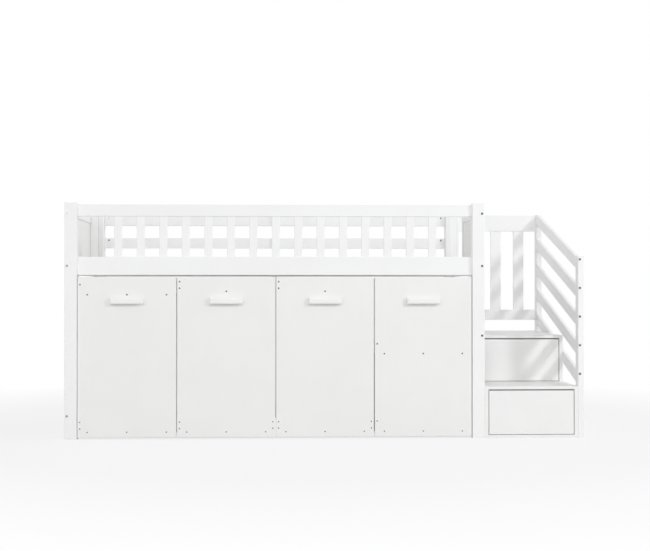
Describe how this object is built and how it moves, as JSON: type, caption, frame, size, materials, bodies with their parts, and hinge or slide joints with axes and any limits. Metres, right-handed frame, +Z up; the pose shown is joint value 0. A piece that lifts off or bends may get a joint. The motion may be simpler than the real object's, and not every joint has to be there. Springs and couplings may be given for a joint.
{
  "type": "loft bed",
  "caption": "White low loft bed with slatted guard rails, tall rolling cabinets that pull out from underneath, and a storage staircase with drawers and a sloped side guard.",
  "frame": {"origin": "centre of the whole bed's footprint, on the floor", "axes": "+X along the bed towards the staircase, +Y from the front to the back, +Z up"},
  "size_m": [2.519, 1.078, 1.14],
  "materials": {
    "frame_paint": "satin white paint on solid timber",
    "panel_paint": "satin white paint on board",
    "pull_paint": "smooth white lacquer",
    "rod_paint": "white painted dowel",
    "drawer_board": "white foiled board",
    "bolt_steel": "dark zinc",
    "caster_steel": "zinc plated",
    "wheel_plastic": "moulded"
  },
  "bodies": {
    "bed_frame": {"bed_slats": "frame_paint", "drawer_runners": "drawer_board", "end_stiles": "frame_paint", "frame_bolts": "bolt_steel", "front_guard_slats": "frame_paint", "front_left_post": "frame_paint", "front_right_post": "frame_paint", "front_side_rail": "frame_paint", "front_top_rail": "frame_paint", "left_end_panel": "panel_paint", "left_end_rails": "frame_paint", "lower_tread": "panel_paint", "rear_battens": "frame_paint", "rear_guard_rails": "frame_paint", "rear_left_post": "frame_paint", "rear_right_post": "frame_paint", "rear_side_rail": "frame_paint", "right_end_panel": "panel_paint", "right_end_rails": "frame_paint", "slat_supports": "frame_paint", "stair_back": "panel_paint", "stair_back_guard": "frame_paint", "stair_bottom_board": "panel_paint", "stair_front_post": "frame_paint", "stair_guard_bars": "frame_paint", "stair_handrail": "frame_paint", "stair_left_side": "panel_paint", "stair_rear_post": "frame_paint", "stair_right_side": "panel_paint", "upper_tread": "panel_paint"},
    "cabinet_1": {"cabinet_1_body": "panel_paint", "cabinet_1_casters": "caster_steel", "cabinet_1_front": "panel_paint", "cabinet_1_handle": "pull_paint"},
    "cabinet_1_front_axle": {"cabinet_1_front_wheels": "wheel_plastic"},
    "cabinet_1_rear_axle": {"cabinet_1_rear_wheels": "wheel_plastic"},
    "cabinet_2": {"cabinet_2_body": "panel_paint", "cabinet_2_casters": "caster_steel", "cabinet_2_front": "panel_paint", "cabinet_2_handle": "pull_paint", "cabinet_2_rod": "rod_paint"},
    "cabinet_2_front_axle": {"cabinet_2_front_wheels": "wheel_plastic"},
    "cabinet_2_rear_axle": {"cabinet_2_rear_wheels": "wheel_plastic"},
    "cabinet_3": {"cabinet_3_body": "panel_paint", "cabinet_3_casters": "caster_steel", "cabinet_3_front": "panel_paint", "cabinet_3_handle": "pull_paint", "cabinet_3_rod": "rod_paint"},
    "cabinet_3_front_axle": {"cabinet_3_front_wheels": "wheel_plastic"},
    "cabinet_3_rear_axle": {"cabinet_3_rear_wheels": "wheel_plastic"},
    "cabinet_4": {"cabinet_4_body": "panel_paint", "cabinet_4_casters": "caster_steel", "cabinet_4_front": "panel_paint", "cabinet_4_handle": "pull_paint"},
    "cabinet_4_front_axle": {"cabinet_4_front_wheels": "wheel_plastic"},
    "cabinet_4_rear_axle": {"cabinet_4_rear_wheels": "wheel_plastic"},
    "lower_drawer": {"lower_drawer_box": "drawer_board", "lower_drawer_front": "panel_paint"},
    "upper_drawer": {"upper_drawer_box": "drawer_board", "upper_drawer_front": "panel_paint"}
  },
  "joints": [
    {"name": "cabinet_1_roll_out", "type": "slide", "parent": "bed_frame", "child": "cabinet_1", "axis": [0, -1, 0], "range_m": [0, 0.9]},
    {"name": "cabinet_1_front_wheels_turn", "type": "hinge", "parent": "cabinet_1", "child": "cabinet_1_front_axle", "pos_m": [-0.95875, -0.439, 0.0115], "axis": [1, 0, 0], "continuous": true},
    {"name": "cabinet_1_rear_wheels_turn", "type": "hinge", "parent": "cabinet_1", "child": "cabinet_1_rear_axle", "pos_m": [-0.95875, 0.35, 0.0115], "axis": [1, 0, 0], "continuous": true},
    {"name": "cabinet_2_roll_out", "type": "slide", "parent": "bed_frame", "child": "cabinet_2", "axis": [0, -1, 0], "range_m": [0, 0.9]},
    {"name": "cabinet_2_front_wheels_turn", "type": "hinge", "parent": "cabinet_2", "child": "cabinet_2_front_axle", "pos_m": [-0.48125, -0.439, 0.0115], "axis": [1, 0, 0], "continuous": true},
    {"name": "cabinet_2_rear_wheels_turn", "type": "hinge", "parent": "cabinet_2", "child": "cabinet_2_rear_axle", "pos_m": [-0.48125, 0.35, 0.0115], "axis": [1, 0, 0], "continuous": true},
    {"name": "cabinet_3_roll_out", "type": "slide", "parent": "bed_frame", "child": "cabinet_3", "axis": [0, -1, 0], "range_m": [0, 0.9]},
    {"name": "cabinet_3_front_wheels_turn", "type": "hinge", "parent": "cabinet_3", "child": "cabinet_3_front_axle", "pos_m": [-0.00375, -0.439, 0.0115], "axis": [1, 0, 0], "continuous": true},
    {"name": "cabinet_3_rear_wheels_turn", "type": "hinge", "parent": "cabinet_3", "child": "cabinet_3_rear_axle", "pos_m": [-0.00375, 0.35, 0.0115], "axis": [1, 0, 0], "continuous": true},
    {"name": "cabinet_4_roll_out", "type": "slide", "parent": "bed_frame", "child": "cabinet_4", "axis": [0, -1, 0], "range_m": [0, 0.9]},
    {"name": "cabinet_4_front_wheels_turn", "type": "hinge", "parent": "cabinet_4", "child": "cabinet_4_front_axle", "pos_m": [0.47375, -0.439, 0.0115], "axis": [1, 0, 0], "continuous": true},
    {"name": "cabinet_4_rear_wheels_turn", "type": "hinge", "parent": "cabinet_4", "child": "cabinet_4_rear_axle", "pos_m": [0.47375, 0.35, 0.0115], "axis": [1, 0, 0], "continuous": true},
    {"name": "lower_drawer_slide", "type": "slide", "parent": "bed_frame", "child": "lower_drawer", "axis": [0, -1, 0], "range_m": [0, 0.4]},
    {"name": "upper_drawer_slide", "type": "slide", "parent": "bed_frame", "child": "upper_drawer", "axis": [0, -1, 0], "range_m": [0, 0.4]}
  ],
  "couplings": [
    {"joint": "cabinet_1_front_wheels_turn", "follows": "cabinet_1_roll_out", "rad_per_m": 86.957},
    {"joint": "cabinet_1_rear_wheels_turn", "follows": "cabinet_1_roll_out", "rad_per_m": 86.957},
    {"joint": "cabinet_2_front_wheels_turn", "follows": "cabinet_2_roll_out", "rad_per_m": 86.957},
    {"joint": "cabinet_2_rear_wheels_turn", "follows": "cabinet_2_roll_out", "rad_per_m": 86.957},
    {"joint": "cabinet_3_front_wheels_turn", "follows": "cabinet_3_roll_out", "rad_per_m": 86.957},
    {"joint": "cabinet_3_rear_wheels_turn", "follows": "cabinet_3_roll_out", "rad_per_m": 86.957},
    {"joint": "cabinet_4_front_wheels_turn", "follows": "cabinet_4_roll_out", "rad_per_m": 86.957},
    {"joint": "cabinet_4_rear_wheels_turn", "follows": "cabinet_4_roll_out", "rad_per_m": 86.957}
  ]
}
